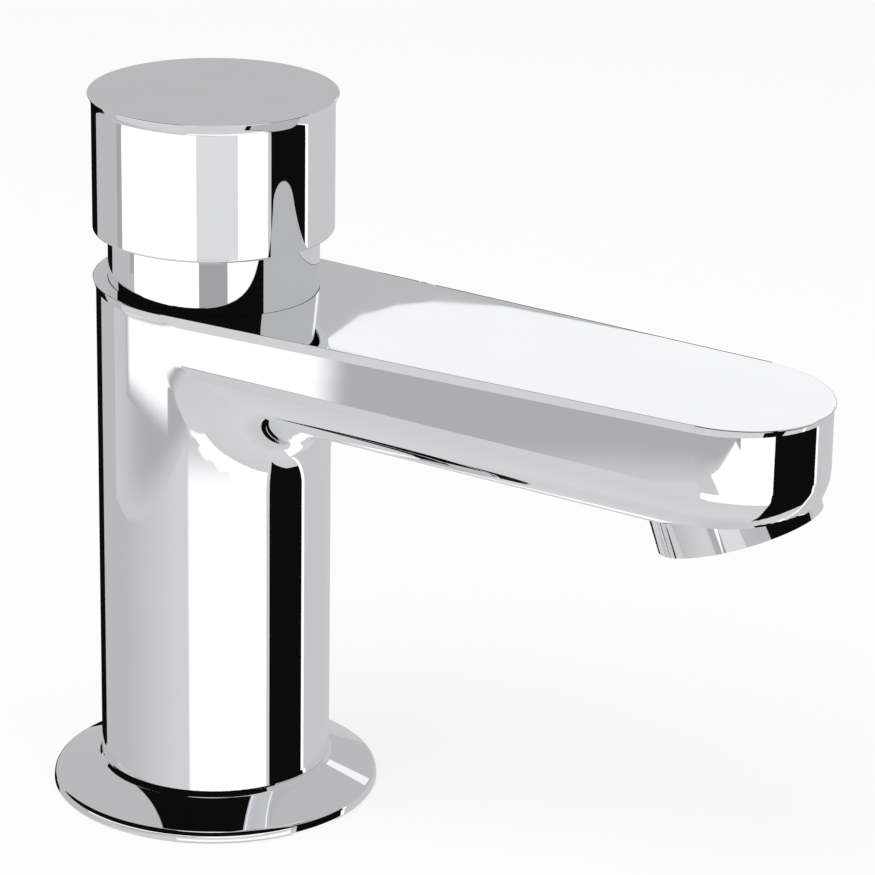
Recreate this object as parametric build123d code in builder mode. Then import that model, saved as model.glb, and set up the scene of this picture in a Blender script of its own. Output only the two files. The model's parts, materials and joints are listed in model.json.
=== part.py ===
from build123d import *
import math
import os

# Push timed tap for a washbasin: a pillar body with a flat drooping spout, a push cap on top
# and a self-closing cartridge inside.
# Millimetres. +Z is up, the spout points along +X, and z = 0 is the deck that the tap stands on.

# Clearances shared by the whole tap
running_gap = 0.05
thread_gap = 0.05
seat_gap = 0.10
loose_gap = 0.40
cut_overrun = 20.0

# Pillar and spout
pillar_wall = 5.55
body_top = 96.9
top_droop = 3.0
floor_droop = 4.9
foot_edge_break = 0.35
spout_reach = 99.0
spout_tip_radius = 17.5
spout_depth = 19.6
spout_under_radius = 11.0
spout_root_inset = 0.2
junction_radius = 12.0
lip_overhang = 0.6
lip_height = 2.4
lip_sink = 0.3
water_way_radius = 5.0
water_way_drop = 11.4

# Outlet under the spout tip
outlet_lead = 2.6
outlet_drop = 0.99
outlet_tilt = 19.0
outlet_wall = 2.7
aerator_thread_radius = 12.0
aerator_socket_depth = 10.0
throat_radius = 8.5
throat_depth = 4.5

# Push cap
push_stroke = 6.0
cap_gap = 9.9
cap_overhang = 0.5
cap_height = 24.9
cap_wall = 1.7
cap_roof = 2.4
cap_lip_overhang = 0.8
cap_lip_height = 1.6
cap_foot_break = 0.3

# Neck collar
neck_setback = 2.15
collar_wall = 3.8
spot_face_sink = 1.5
collar_height = 22.6
collar_thread_height = 7.6

# Base flange and its seal
flange_reach = 8.9
flange_land_height = 6.0
flange_rim_height = 2.7
flange_rim_inset = 1.6
flange_edge_break = 0.5
flange_crown = 0.5
foot_spigot_setback = 3.2
foot_spigot_length = 3.8
base_seal_inset = 5.9
base_seal_height = 2.0

# Tail under the deck
thread_radius = 10.48
shank_length = 62.0
shank_bore_radius = 7.0
shank_socket_depth = 13.8
shank_end_break = 0.8
supply_end_length = 16.5
relief_width = 1.5
relief_depth = 0.8
deck_room = 30.0
clamp_radius = 22.0
rubber_washer_height = 3.0
clamp_washer_height = 1.5
nut_height = 8.5
nut_wall = 4.52
nut_corner_break = 1.2

# Cartridge housing, whose piston bore sets the radii of the collar, the pillar and the cap
piston_bore_radius = 10.5
piston_bore_depth = 24.4
housing_wall = 2.4
housing_upper_height = 16.6
collar_thread_depth = 1.1
housing_flange_step = 1.4
housing_flange_height = 4.4
flow_gap = 2.45
spring_web = 3.0
port_chamber_step = 2.0
port_chamber_height = 7.0
port_radius = 2.0
port_count = 6
ring_groove_width = 1.8
ring_groove_depth = 1.4

# Valve seat, cage and strainer
valve_seat_height = 3.0
valve_seat_width = 2.5
housing_foot_wall = 2.1
cage_wall = 2.3
cage_length = 22.0
cage_insert = 2.0
cage_groove_drop = 12.0
strainer_height = 1.5
strainer_wall = 0.8
strainer_hole_radius = 0.7
strainer_hole_spacing = 2.6

# Stem and valve
stem_radius = 3.0
stem_tail_radius = 2.0
stem_tail_length = 10.5
stem_hole_gap = 0.6
valve_flow_gap = 1.1
valve_washer_height = 3.0
valve_disc_height = 3.0
valve_nut_height = 3.0
valve_nut_across_flats = 5.5

# Timing piston
spring_room = 20.0
piston_height = 7.0
chamber_room = 3.0
lip_seal_height = 2.6
lip_seal_depth = 2.2
lip_seal_lift = 2.0
circlip_height = 0.8
circlip_radius = 4.6
circlip_groove = 0.5
jet_radius = 1.2
jet_inset = 2.0
jet_orifice_radius = 0.3
jet_orifice_depth = 2.0

# Return spring
spring_wire_radius = 0.6
spring_coil_inset = 2.2
spring_turns = 6.5
spring_end_gap = 0.05

# Guide bush and its seal
bush_flange_height = 2.5
bush_recess_radius = 6.0
bush_recess_depth = 4.0
stem_seal_height = 2.4
seal_retainer_height = 1.0

# Carrier under the cap roof
travel_margin = 0.6
carrier_skirt_wall = 1.4
carrier_hub_radius = 6.0
carrier_pin_radius = 2.2
carrier_pin_length = 5.0
carrier_screw_radius = 1.5
carrier_screw_reach = 8.0
carrier_head_radius = 3.6
carrier_head_height = 2.4
carrier_slot_width = 0.9
grub_radius = 1.5
grub_length = 4.4
grub_sink = 0.3
grub_socket_across = 1.5
grub_socket_depth = 1.6

# Aerator in the outlet
aerator_recess = 0.3
aerator_shell_wall = 2.4
aerator_ledge_height = 1.0
aerator_ledge_width = 1.0
aerator_shell_height = 7.7
aerator_insert_height = 4.0
aerator_hole_radius = 1.05
aerator_hole_spacing = 2.9
aerator_screen_height = 0.4
aerator_notch_count = 4
aerator_notch_width = 1.8
aerator_notch_depth = 0.8

# Radii worked out from the piston bore outwards
nut_across_flats = 2 * (thread_radius + nut_wall)
housing_upper_radius = piston_bore_radius + housing_wall
collar_thread_radius = housing_upper_radius + collar_thread_depth
housing_flange_radius = collar_thread_radius + housing_flange_step
chamber_radius = housing_flange_radius + thread_gap
body_radius = chamber_radius + pillar_wall
neck_radius = body_radius - neck_setback
cap_radius = body_radius + cap_overhang
cap_bore = cap_radius - cap_wall
guide_bore = neck_radius - collar_wall
carrier_skirt_radius = guide_bore - running_gap
flange_radius = body_radius + flange_reach
base_seal_radius = flange_radius - base_seal_inset
foot_spigot_radius = body_radius - foot_spigot_setback
housing_radius = chamber_radius - flow_gap
cage_radius = housing_radius - housing_foot_wall
cage_socket_radius = cage_radius + seat_gap
cage_bore = cage_radius - cage_wall
port_chamber_radius = piston_bore_radius - port_chamber_step
valve_radius = cage_bore - valve_flow_gap
valve_seat_bore = valve_radius - valve_seat_width
spring_coil_radius = piston_bore_radius - spring_coil_inset
stem_bore = stem_radius + running_gap
outlet_radius = aerator_thread_radius + outlet_wall

# Levels and slopes worked out from the sizes above
droop = math.radians(top_droop)
slope = math.radians(floor_droop)
tilt = math.radians(outlet_tilt)
spot_face = body_top - spot_face_sink
spout_floor = body_top - spout_depth
spigot_bottom = flange_land_height - foot_spigot_length
shank_top = spigot_bottom + shank_socket_depth
spring_floor = spot_face - piston_bore_depth
web_bottom = spring_floor - spring_web
seat_top = web_bottom - port_chamber_height
seat_bottom = seat_top - valve_seat_height
housing_foot = seat_bottom - cage_insert
cage_bottom = seat_bottom - cage_length
socket_floor = cage_bottom - seat_gap
piston_bottom = spring_floor + spring_room
piston_top = piston_bottom + piston_height
bush_bottom = piston_top + chamber_room
housing_top = spot_face + housing_upper_height
bush_top = housing_top + bush_flange_height
collar_top = spot_face + collar_height
guide_floor = spot_face + collar_thread_height
cap_bottom = body_top + cap_gap
cap_top = cap_bottom + cap_height
cap_ceiling = cap_top - cap_roof
carrier_floor = collar_top + push_stroke + travel_margin
hub_bottom = bush_top + push_stroke + travel_margin
skirt_bottom = guide_floor + push_stroke + travel_margin
stem_top = hub_bottom + carrier_pin_length
stem_bottom = seat_bottom - stem_tail_length
outlet_x = spout_reach + outlet_lead
outlet_mouth = spout_floor - outlet_x * math.tan(slope) - outlet_drop

top_normal = (math.sin(droop), 0, math.cos(droop))
top_plane = Plane(origin=(0, 0, body_top), x_dir=(math.cos(droop), 0, -math.sin(droop)), z_dir=top_normal)
floor_plane = Plane(
    origin=(0, 0, spout_floor),
    x_dir=(math.cos(slope), 0, -math.sin(slope)),
    z_dir=(math.sin(slope), 0, math.cos(slope)),
)
outlet_plane = Plane(
    origin=(outlet_x, 0, outlet_mouth),
    x_dir=(math.cos(tilt), 0, math.sin(tilt)),
    z_dir=(-math.sin(tilt), 0, math.cos(tilt)),
)


def turned(*corners):
    """A piece turned about the tap's axis, from the (radius, height) corners of its section."""
    with BuildPart() as piece:
        with BuildSketch(Plane.XZ):
            with BuildLine():
                Polyline(*corners, close=True)
            make_face()
        revolve(axis=Axis.Z)
    return piece


def ring(outer, inner, low, high):
    """A plain ring about the tap's axis."""
    return turned((inner, low), (outer, low), (outer, high), (inner, high))


def o_ring(middle_radius, height, wire_radius):
    """A round-section rubber ring about the tap's axis."""
    with BuildPart() as piece:
        with BuildSketch(Plane.XZ):
            with Locations((middle_radius, height)):
                Circle(wire_radius)
        revolve(axis=Axis.Z)
    return piece


def outlet_ring(outer, inner, low, high):
    """A ring about the outlet's tilted axis, with heights counted up from its mouth."""
    with BuildPart() as piece:
        with BuildSketch(outlet_plane.offset(low)):
            Circle(outer)
            Circle(inner, mode=Mode.SUBTRACT)
        extrude(amount=high - low)
    return piece


# Tap body: head of the spout
# The plan is a keyhole: a large circle over the pillar and a smaller one at the tip, joined by
# their tangents. It is cut to a slab that droops towards the tip, and its lower edge is rounded.
with BuildPart() as spout_head:
    with BuildSketch(Plane.XY.offset(spout_floor - body_radius)):
        Circle(body_radius - spout_root_inset)
        with Locations((spout_reach, 0)):
            Circle(spout_tip_radius)
        make_hull()
    extrude(amount=spout_depth + 2 * body_radius)
    split(bisect_by=top_plane, keep=Keep.BOTTOM)
    split(bisect_by=floor_plane, keep=Keep.TOP)
    fillet(spout_head.faces().sort_by(Axis.Z)[0].edges(), spout_under_radius)

# Tap body: pillar
with BuildPart() as pillar:
    with BuildSketch(Plane.XY.offset(flange_land_height)):
        Circle(body_radius)
    extrude(amount=body_top + body_radius - flange_land_height)
    split(bisect_by=top_plane, keep=Keep.BOTTOM)


def on_pillar(edge):
    """True for an edge where the spout leaves the pillar's round wall."""
    spots = [edge.position_at(share) for share in (0, 1 / 3, 2 / 3, 1)]
    touching = all(abs(math.hypot(spot.X, spot.Y) - body_radius) < seat_gap for spot in spots)
    box = edge.bounding_box()
    level_with_top = box.min.Z > spout_floor + spout_under_radius and box.size.Z < lip_height
    return touching and box.max.Z > spout_floor - lip_height and box.min.X > 0 and not level_with_top


# Tap body: casting with its lip, bores and outlet
with BuildPart() as tap_body:
    add(spout_head.part)
    add(pillar.part)
    fillet(tap_body.edges().filter_by(on_pillar), junction_radius)
    # Thin flared lip round the whole top face
    with BuildSketch(top_plane.offset(-lip_height)):
        Circle(body_radius - lip_sink)
        with Locations((spout_reach, 0)):
            Circle(spout_tip_radius - lip_sink)
        make_hull()
    extrude(amount=lip_height, taper=-math.degrees(math.atan2(lip_overhang + lip_sink, lip_height)))
    # Outlet boss, leaning outwards
    with BuildSketch(outlet_plane):
        Circle(outlet_radius)
    extrude(amount=aerator_socket_depth + throat_depth)
    # Foot: broken edge and the spigot that centres the base flange
    chamfer(tap_body.faces().sort_by(Axis.Z)[0].edges(), foot_edge_break)
    with BuildSketch(Plane.XY.offset(spigot_bottom)):
        Circle(foot_spigot_radius)
    extrude(amount=foot_spigot_length)
    # Bores on the axis, from the shank's socket up to the collar's spot face
    with BuildSketch(Plane.XZ):
        with BuildLine():
            Polyline(
                (0, spigot_bottom),
                (thread_radius + thread_gap, spigot_bottom),
                (thread_radius + thread_gap, shank_top + seat_gap),
                (shank_bore_radius, shank_top + seat_gap),
                (shank_bore_radius, socket_floor),
                (cage_socket_radius, socket_floor),
                (cage_socket_radius, housing_foot),
                (chamber_radius, housing_foot),
                (chamber_radius, spot_face),
                (neck_radius + seat_gap, spot_face),
                (neck_radius + seat_gap, body_top + cut_overrun),
                (0, body_top + cut_overrun),
                close=True,
            )
        make_face()
    revolve(axis=Axis.Z, mode=Mode.SUBTRACT)
    # Water way along the spout
    with BuildSketch(Plane(origin=(0, 0, body_top - water_way_drop), z_dir=top_plane.x_dir)):
        Circle(water_way_radius)
    extrude(amount=spout_reach, mode=Mode.SUBTRACT)
    # Aerator socket and throat
    with BuildSketch(outlet_plane.offset(-cut_overrun)):
        Circle(aerator_thread_radius)
    extrude(amount=cut_overrun + aerator_socket_depth, mode=Mode.SUBTRACT)
    with BuildSketch(outlet_plane):
        Circle(throat_radius)
    extrude(amount=aerator_socket_depth + throat_depth, mode=Mode.SUBTRACT)

# Base flange: a turned cover with a crowned top, a land for the pillar and a recess for its seal
rim_radius = flange_radius - flange_rim_inset
flange_bore = foot_spigot_radius + seat_gap
with BuildPart() as base_flange:
    with BuildSketch(Plane.XZ):
        with BuildLine():
            Line((base_seal_radius, 0), (flange_radius - flange_edge_break, 0))
            Line((flange_radius - flange_edge_break, 0), (flange_radius, flange_edge_break))
            ThreePointArc(
                (flange_radius, flange_edge_break),
                (flange_radius - flange_rim_inset / 3, 2 / 3 * flange_rim_height),
                (rim_radius, flange_rim_height),
            )
            ThreePointArc(
                (rim_radius, flange_rim_height),
                (
                    (rim_radius + body_radius) / 2,
                    (flange_rim_height + flange_land_height) / 2 + flange_crown,
                ),
                (body_radius, flange_land_height),
            )
            Polyline(
                (body_radius, flange_land_height),
                (flange_bore, flange_land_height),
                (flange_bore, base_seal_height),
                (base_seal_radius, base_seal_height),
                (base_seal_radius, 0),
            )
        make_face()
    revolve(axis=Axis.Z)

base_seal = ring(base_seal_radius - seat_gap, flange_bore, 0, base_seal_height)

# Threaded shank: half-inch tail that the deck clamps. A relief groove parts the fixing thread
# from the end that the supply screws on to.
shank_bottom = -shank_length
relief_low = shank_bottom + supply_end_length
relief_high = relief_low + relief_width
relief_floor = thread_radius - relief_depth
threaded_shank = turned(
    (shank_bore_radius, shank_bottom),
    (thread_radius - shank_end_break, shank_bottom),
    (thread_radius, shank_bottom + shank_end_break),
    (thread_radius, relief_low),
    (relief_floor, relief_low),
    (relief_floor, relief_high),
    (thread_radius, relief_high),
    (thread_radius, shank_top),
    (shank_bore_radius, shank_top),
)

# Washers and nut that clamp the deck from below
washer_bore = thread_radius + loose_gap
rubber_bottom = -deck_room - rubber_washer_height
clamp_bottom = rubber_bottom - clamp_washer_height
nut_bottom = clamp_bottom - nut_height
rubber_washer = ring(clamp_radius, washer_bore, rubber_bottom, -deck_room)
clamp_washer = ring(clamp_radius, washer_bore, clamp_bottom, rubber_bottom)
with BuildPart() as back_nut:
    with BuildSketch(Plane.XY.offset(nut_bottom)):
        RegularPolygon(nut_across_flats / 2, 6, major_radius=False)
    extrude(amount=nut_height)
    # The turned cone that breaks the six lower corners
    with BuildSketch(Plane.XY.offset(nut_bottom)):
        Circle(nut_across_flats / 2 + nut_height)
    extrude(amount=nut_height, taper=-45, mode=Mode.INTERSECT)
    with BuildSketch(Plane.XY.offset(nut_bottom)):
        Circle(thread_radius + thread_gap)
    extrude(amount=nut_height, mode=Mode.SUBTRACT)

# Neck collar: the polished sleeve that screws on to the cartridge and guides the cap's carrier
neck_collar = turned(
    (collar_thread_radius + thread_gap, spot_face),
    (neck_radius, spot_face),
    (neck_radius, collar_top),
    (guide_bore, collar_top),
    (guide_bore, guide_floor),
    (collar_thread_radius + thread_gap, guide_floor),
)

# Cartridge housing: foot, flow ports, piston bore and the threaded flange under the collar
flange_bottom = spot_face - housing_flange_height
groove_middle = flange_bottom + housing_flange_height / 2
groove_low = groove_middle - ring_groove_width / 2
groove_high = groove_middle + ring_groove_width / 2
groove_floor = housing_flange_radius - ring_groove_depth
web_bore = stem_radius + stem_hole_gap
seat_pocket = cage_radius + thread_gap
with BuildPart() as cartridge_housing:
    with BuildSketch(Plane.XZ):
        with BuildLine():
            Polyline(
                (seat_pocket, housing_foot),
                (housing_radius, housing_foot),
                (housing_radius, flange_bottom),
                (housing_flange_radius, flange_bottom),
                (housing_flange_radius, groove_low),
                (groove_floor, groove_low),
                (groove_floor, groove_high),
                (housing_flange_radius, groove_high),
                (housing_flange_radius, spot_face),
                (collar_thread_radius, spot_face),
                (collar_thread_radius, guide_floor),
                (housing_upper_radius, guide_floor),
                (housing_upper_radius, housing_top),
                (piston_bore_radius, housing_top),
                (piston_bore_radius, spring_floor),
                (web_bore, spring_floor),
                (web_bore, web_bottom),
                (port_chamber_radius, web_bottom),
                (port_chamber_radius, seat_top),
                (seat_pocket, seat_top),
                close=True,
            )
        make_face()
    revolve(axis=Axis.Z)
    # Radial ports that let water out into the body's chamber
    with Locations(Location((0, 0, seat_top + port_chamber_height / 2))):
        with PolarLocations(0, port_count):
            Cylinder(
                port_radius,
                housing_flange_radius,
                rotation=(0, 90, 0),
                align=(Align.CENTER, Align.CENTER, Align.MIN),
                mode=Mode.SUBTRACT,
            )

housing_ring_wire = (ring_groove_depth + thread_gap) / 2 - running_gap
housing_o_ring = o_ring(groove_floor + running_gap + housing_ring_wire, groove_middle, housing_ring_wire)

# Valve seat: the brass ring that the valve closes against from below
valve_seat = ring(cage_radius - seat_gap, valve_seat_bore, seat_bottom, seat_top)

# Cartridge cage: the inlet sleeve round the valve, sealed in the body by a ring
cage_groove_middle = housing_foot - cage_groove_drop
cage_groove_low = cage_groove_middle - ring_groove_width / 2
cage_groove_high = cage_groove_middle + ring_groove_width / 2
cage_groove_floor = cage_radius - ring_groove_depth
strainer_top = cage_bottom + strainer_height
strainer_seat = cage_bore + cage_wall / 3
cartridge_cage = turned(
    (strainer_seat, cage_bottom),
    (cage_radius, cage_bottom),
    (cage_radius, cage_groove_low),
    (cage_groove_floor, cage_groove_low),
    (cage_groove_floor, cage_groove_high),
    (cage_radius, cage_groove_high),
    (cage_radius, seat_bottom),
    (cage_bore, seat_bottom),
    (cage_bore, strainer_top),
    (strainer_seat, strainer_top),
)
cage_ring_wire = (ring_groove_depth + seat_gap) / 2 - running_gap
cage_o_ring = o_ring(cage_groove_floor + running_gap + cage_ring_wire, cage_groove_middle, cage_ring_wire)

# Inlet strainer: a pierced cup pressed into the cage's lower end
with BuildPart() as inlet_strainer:
    with BuildSketch(Plane.XY.offset(cage_bottom)):
        Circle(strainer_seat - running_gap)
    extrude(amount=strainer_height)
    with BuildSketch(Plane.XY.offset(cage_bottom + strainer_wall)):
        Circle(strainer_seat - running_gap - strainer_wall)
    extrude(amount=strainer_height, mode=Mode.SUBTRACT)
    with BuildSketch(Plane.XY.offset(cage_bottom)):
        with HexLocations(strainer_hole_spacing / 2, 5, 5, major_radius=False):
            Circle(strainer_hole_radius)
    extrude(amount=strainer_height, mode=Mode.SUBTRACT)

# Plunger stem: one turned rod from the valve's tail up to the pin in the carrier
circlip_low = piston_top
circlip_high = circlip_low + circlip_height
circlip_floor = stem_radius - circlip_groove
screw_hole_bottom = stem_top - carrier_screw_reach
screw_hole = carrier_screw_radius + thread_gap
plunger_stem = turned(
    (0, stem_bottom),
    (stem_tail_radius, stem_bottom),
    (stem_tail_radius, seat_bottom),
    (stem_radius, seat_bottom),
    (stem_radius, circlip_low),
    (circlip_floor, circlip_low),
    (circlip_floor, circlip_high),
    (stem_radius, circlip_high),
    (stem_radius, hub_bottom),
    (carrier_pin_radius, hub_bottom),
    (carrier_pin_radius, stem_top),
    (screw_hole, stem_top),
    (screw_hole, screw_hole_bottom),
    (0, screw_hole_bottom),
)

# Valve: rubber washer, brass disc and nut stacked on the stem's tail
tail_bore = stem_tail_radius + running_gap
washer_bottom = seat_bottom - valve_washer_height
disc_bottom = washer_bottom - valve_disc_height
valve_washer = ring(valve_radius, tail_bore, washer_bottom, seat_bottom)
valve_disc = turned(
    (tail_bore, disc_bottom),
    (valve_radius - valve_disc_height / 2, disc_bottom),
    (valve_radius, disc_bottom + valve_disc_height / 2),
    (valve_radius, washer_bottom),
    (tail_bore, washer_bottom),
)
with BuildPart() as valve_nut:
    with BuildSketch(Plane.XY.offset(disc_bottom - valve_nut_height)):
        RegularPolygon(valve_nut_across_flats / 2, 6, major_radius=False)
        Circle(tail_bore, mode=Mode.SUBTRACT)
    extrude(amount=valve_nut_height)

# Timing piston: carries the lip seal and the bleed jet that sets how slowly the valve closes
piston_radius = piston_bore_radius - 2 * running_gap
seal_low = piston_bottom + lip_seal_lift
seal_high = seal_low + lip_seal_height
seal_floor = piston_radius - lip_seal_depth
jet_offset = seal_floor - jet_inset
with BuildPart() as timing_piston:
    with BuildSketch(Plane.XZ):
        with BuildLine():
            Polyline(
                (stem_bore, piston_bottom),
                (piston_radius, piston_bottom),
                (piston_radius, seal_low),
                (seal_floor, seal_low),
                (seal_floor, seal_high),
                (piston_radius, seal_high),
                (piston_radius, piston_top),
                (stem_bore, piston_top),
                close=True,
            )
        make_face()
    revolve(axis=Axis.Z)
    with Locations((jet_offset, 0, piston_bottom)):
        Cylinder(
            jet_radius + running_gap,
            piston_height,
            align=(Align.CENTER, Align.CENTER, Align.MIN),
            mode=Mode.SUBTRACT,
        )

# Lip seal: lets water pass as the piston goes down and holds it as the piston comes back
seal_outer = piston_bore_radius - running_gap
seal_inner = seal_floor + running_gap
seal_middle = (seal_outer + seal_inner) / 2
lip_seal_bottom = seal_low + running_gap
piston_lip_seal = turned(
    (seal_inner, lip_seal_bottom),
    (seal_outer - lip_seal_depth / 4, lip_seal_bottom),
    (seal_outer, seal_high - running_gap),
    (seal_outer - lip_seal_depth / 4, seal_high - running_gap),
    (seal_middle, lip_seal_bottom + lip_seal_height / 2),
    (seal_inner + lip_seal_depth / 4, seal_high - running_gap),
    (seal_inner, seal_high - running_gap),
)

# Timing jet: brass plug in the piston with a fine orifice at its lower end
with BuildPart() as timing_jet:
    with Locations((jet_offset, 0, piston_bottom)):
        Cylinder(jet_radius, piston_height, align=(Align.CENTER, Align.CENTER, Align.MIN))
        Cylinder(
            jet_orifice_radius,
            piston_height,
            align=(Align.CENTER, Align.CENTER, Align.MIN),
            mode=Mode.SUBTRACT,
        )
    with Locations((jet_offset, 0, piston_bottom + jet_orifice_depth)):
        Cylinder(
            jet_radius / 2,
            piston_height,
            align=(Align.CENTER, Align.CENTER, Align.MIN),
            mode=Mode.SUBTRACT,
        )

# Circlip that holds the piston down on the stem: an open ring in the stem's groove
with BuildPart() as piston_circlip:
    with BuildSketch(Plane.XY.offset(circlip_low)):
        Circle(circlip_radius)
        Circle(circlip_floor + running_gap, mode=Mode.SUBTRACT)
        with Locations((circlip_radius, 0)):
            Rectangle(circlip_radius, stem_radius, mode=Mode.SUBTRACT)
    extrude(amount=circlip_height)

# Return spring between the housing's web and the piston
spring_height = spring_room - 2 * (spring_wire_radius + spring_end_gap)
spring_pitch = spring_height / spring_turns
spring_start = (spring_coil_radius, 0, spring_floor + spring_wire_radius + spring_end_gap)
print("return spring, gap between turns:", round(spring_pitch - 2 * spring_wire_radius, 2))
with BuildPart() as return_spring:
    with BuildLine():
        coil = Helix(spring_pitch, spring_height, spring_coil_radius, center=(0, 0, spring_start[2]))
    with BuildSketch(Plane(origin=spring_start, z_dir=coil.tangent_at(0))):
        Circle(spring_wire_radius)
    sweep(path=coil, is_frenet=True)

# Guide bush: closes the piston bore, guides the stem and holds its seal
recess_floor = bush_top - bush_recess_depth
guide_bush = turned(
    (stem_bore, bush_bottom),
    (piston_bore_radius - thread_gap, bush_bottom),
    (piston_bore_radius - thread_gap, housing_top),
    (housing_upper_radius, housing_top),
    (housing_upper_radius, bush_top),
    (bush_recess_radius, bush_top),
    (bush_recess_radius, recess_floor),
    (stem_bore, recess_floor),
)
retainer_bottom = recess_floor + stem_seal_height
stem_seal = ring(bush_recess_radius - running_gap, stem_bore, recess_floor, retainer_bottom)
seal_retainer = ring(
    bush_recess_radius - running_gap,
    stem_radius + loose_gap,
    retainer_bottom,
    retainer_bottom + seal_retainer_height,
)

# Push cap: a turned cup with a thin flared rim at its top, and a screw hole at the back
grub_height = (carrier_floor + cap_ceiling) / 2
with BuildPart() as push_cap:
    with BuildSketch(Plane.XZ):
        with BuildLine():
            Polyline(
                (0, cap_top),
                (cap_radius + cap_lip_overhang, cap_top),
                (cap_radius, cap_top - cap_lip_height),
                (cap_radius, cap_bottom + cap_foot_break),
                (cap_radius - cap_foot_break, cap_bottom),
                (cap_bore, cap_bottom),
                (cap_bore, cap_ceiling),
                (0, cap_ceiling),
                close=True,
            )
        make_face()
    revolve(axis=Axis.Z)
    with BuildSketch(Plane(origin=(0, 0, grub_height), z_dir=(-1, 0, 0))):
        Circle(grub_radius + thread_gap)
    extrude(amount=cap_radius + cut_overrun, mode=Mode.SUBTRACT)

# Cap carrier: moulded disc, hub and guide skirt that fix the cap to the stem
carrier_disc_radius = cap_bore - seat_gap
head_floor = stem_top
with BuildPart() as cap_carrier:
    with BuildSketch(Plane.XZ):
        with BuildLine():
            Polyline(
                (carrier_pin_radius + running_gap, hub_bottom),
                (carrier_hub_radius, hub_bottom),
                (carrier_hub_radius, carrier_floor),
                (carrier_skirt_radius - carrier_skirt_wall, carrier_floor),
                (carrier_skirt_radius - carrier_skirt_wall, skirt_bottom),
                (carrier_skirt_radius, skirt_bottom),
                (carrier_skirt_radius, carrier_floor),
                (carrier_disc_radius, carrier_floor),
                (carrier_disc_radius, cap_ceiling),
                (carrier_head_radius + seat_gap, cap_ceiling),
                (carrier_head_radius + seat_gap, head_floor),
                (carrier_pin_radius + running_gap, head_floor),
                close=True,
            )
        make_face()
    revolve(axis=Axis.Z)
    with BuildSketch(Plane(origin=(-(cap_radius - grub_length - grub_sink), 0, grub_height), z_dir=(-1, 0, 0))):
        Circle(grub_radius + thread_gap)
    extrude(amount=cap_radius, mode=Mode.SUBTRACT)

# Carrier screw: slotted pan head over the stem's pin
with BuildPart() as carrier_screw:
    with BuildSketch(Plane.XY.offset(screw_hole_bottom + seat_gap)):
        Circle(carrier_screw_radius)
    extrude(amount=carrier_screw_reach - seat_gap)
    with BuildSketch(Plane.XY.offset(head_floor)):
        Circle(carrier_head_radius)
    extrude(amount=carrier_head_height)
    with BuildSketch(Plane.XY.offset(head_floor + carrier_head_height / 2)):
        Rectangle(2 * carrier_head_radius, carrier_slot_width)
    extrude(amount=carrier_head_height, mode=Mode.SUBTRACT)

# Grub screw at the back of the cap, with its hexagon socket
grub_plane = Plane(origin=(-(cap_radius - grub_length - grub_sink), 0, grub_height), z_dir=(-1, 0, 0))
with BuildPart() as cap_grub_screw:
    with BuildSketch(grub_plane):
        Circle(grub_radius)
    extrude(amount=grub_length)
    with BuildSketch(grub_plane.offset(grub_length - grub_socket_depth)):
        RegularPolygon(grub_socket_across / 2, 6, major_radius=False)
    extrude(amount=grub_socket_depth, mode=Mode.SUBTRACT)

# Aerator: shell with four key notches, pierced insert, screen and sealing washer
shell_radius = aerator_thread_radius - thread_gap
shell_bore = shell_radius - aerator_shell_wall
shell_top = aerator_recess + aerator_shell_height
insert_bottom = aerator_recess + aerator_ledge_height
insert_top = insert_bottom + aerator_insert_height
with BuildPart() as aerator_housing:
    with BuildSketch(outlet_plane.offset(aerator_recess)):
        Circle(shell_radius)
        Circle(shell_bore - aerator_ledge_width, mode=Mode.SUBTRACT)
    extrude(amount=aerator_shell_height)
    with BuildSketch(outlet_plane.offset(insert_bottom)):
        Circle(shell_bore)
    extrude(amount=aerator_shell_height, mode=Mode.SUBTRACT)
    with BuildSketch(outlet_plane.offset(aerator_recess)):
        with PolarLocations(shell_radius, aerator_notch_count):
            Rectangle(aerator_shell_wall, aerator_notch_width)
    extrude(amount=aerator_notch_depth, mode=Mode.SUBTRACT)

with BuildPart() as aerator_insert:
    with BuildSketch(outlet_plane.offset(insert_bottom)):
        Circle(shell_bore - running_gap)
        with HexLocations(aerator_hole_spacing / 2, 5, 5, major_radius=False):
            Circle(aerator_hole_radius, mode=Mode.SUBTRACT)
    extrude(amount=aerator_insert_height)

with BuildPart() as aerator_screen:
    with BuildSketch(outlet_plane.offset(insert_top)):
        Circle(shell_bore - running_gap)
    extrude(amount=aerator_screen_height)

aerator_washer = outlet_ring(shell_radius, shell_bore, shell_top, aerator_socket_depth - running_gap)

# Every piece under its own name
pieces = {
    "tap_body": tap_body,
    "base_flange": base_flange,
    "base_seal": base_seal,
    "threaded_shank": threaded_shank,
    "rubber_washer": rubber_washer,
    "clamp_washer": clamp_washer,
    "back_nut": back_nut,
    "neck_collar": neck_collar,
    "cartridge_housing": cartridge_housing,
    "housing_o_ring": housing_o_ring,
    "valve_seat": valve_seat,
    "cartridge_cage": cartridge_cage,
    "cage_o_ring": cage_o_ring,
    "inlet_strainer": inlet_strainer,
    "guide_bush": guide_bush,
    "stem_seal": stem_seal,
    "seal_retainer": seal_retainer,
    "aerator_housing": aerator_housing,
    "aerator_insert": aerator_insert,
    "aerator_screen": aerator_screen,
    "aerator_washer": aerator_washer,
    "push_cap": push_cap,
    "cap_carrier": cap_carrier,
    "cap_grub_screw": cap_grub_screw,
    "carrier_screw": carrier_screw,
    "plunger_stem": plunger_stem,
    "timing_piston": timing_piston,
    "piston_lip_seal": piston_lip_seal,
    "timing_jet": timing_jet,
    "piston_circlip": piston_circlip,
    "return_spring": return_spring,
    "valve_washer": valve_washer,
    "valve_disc": valve_disc,
    "valve_nut": valve_nut,
}
os.makedirs("parts", exist_ok=True)
for name, piece in pieces.items():
    piece.part.label = name
    export_step(piece.part, f"parts/{name}.step")
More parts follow.
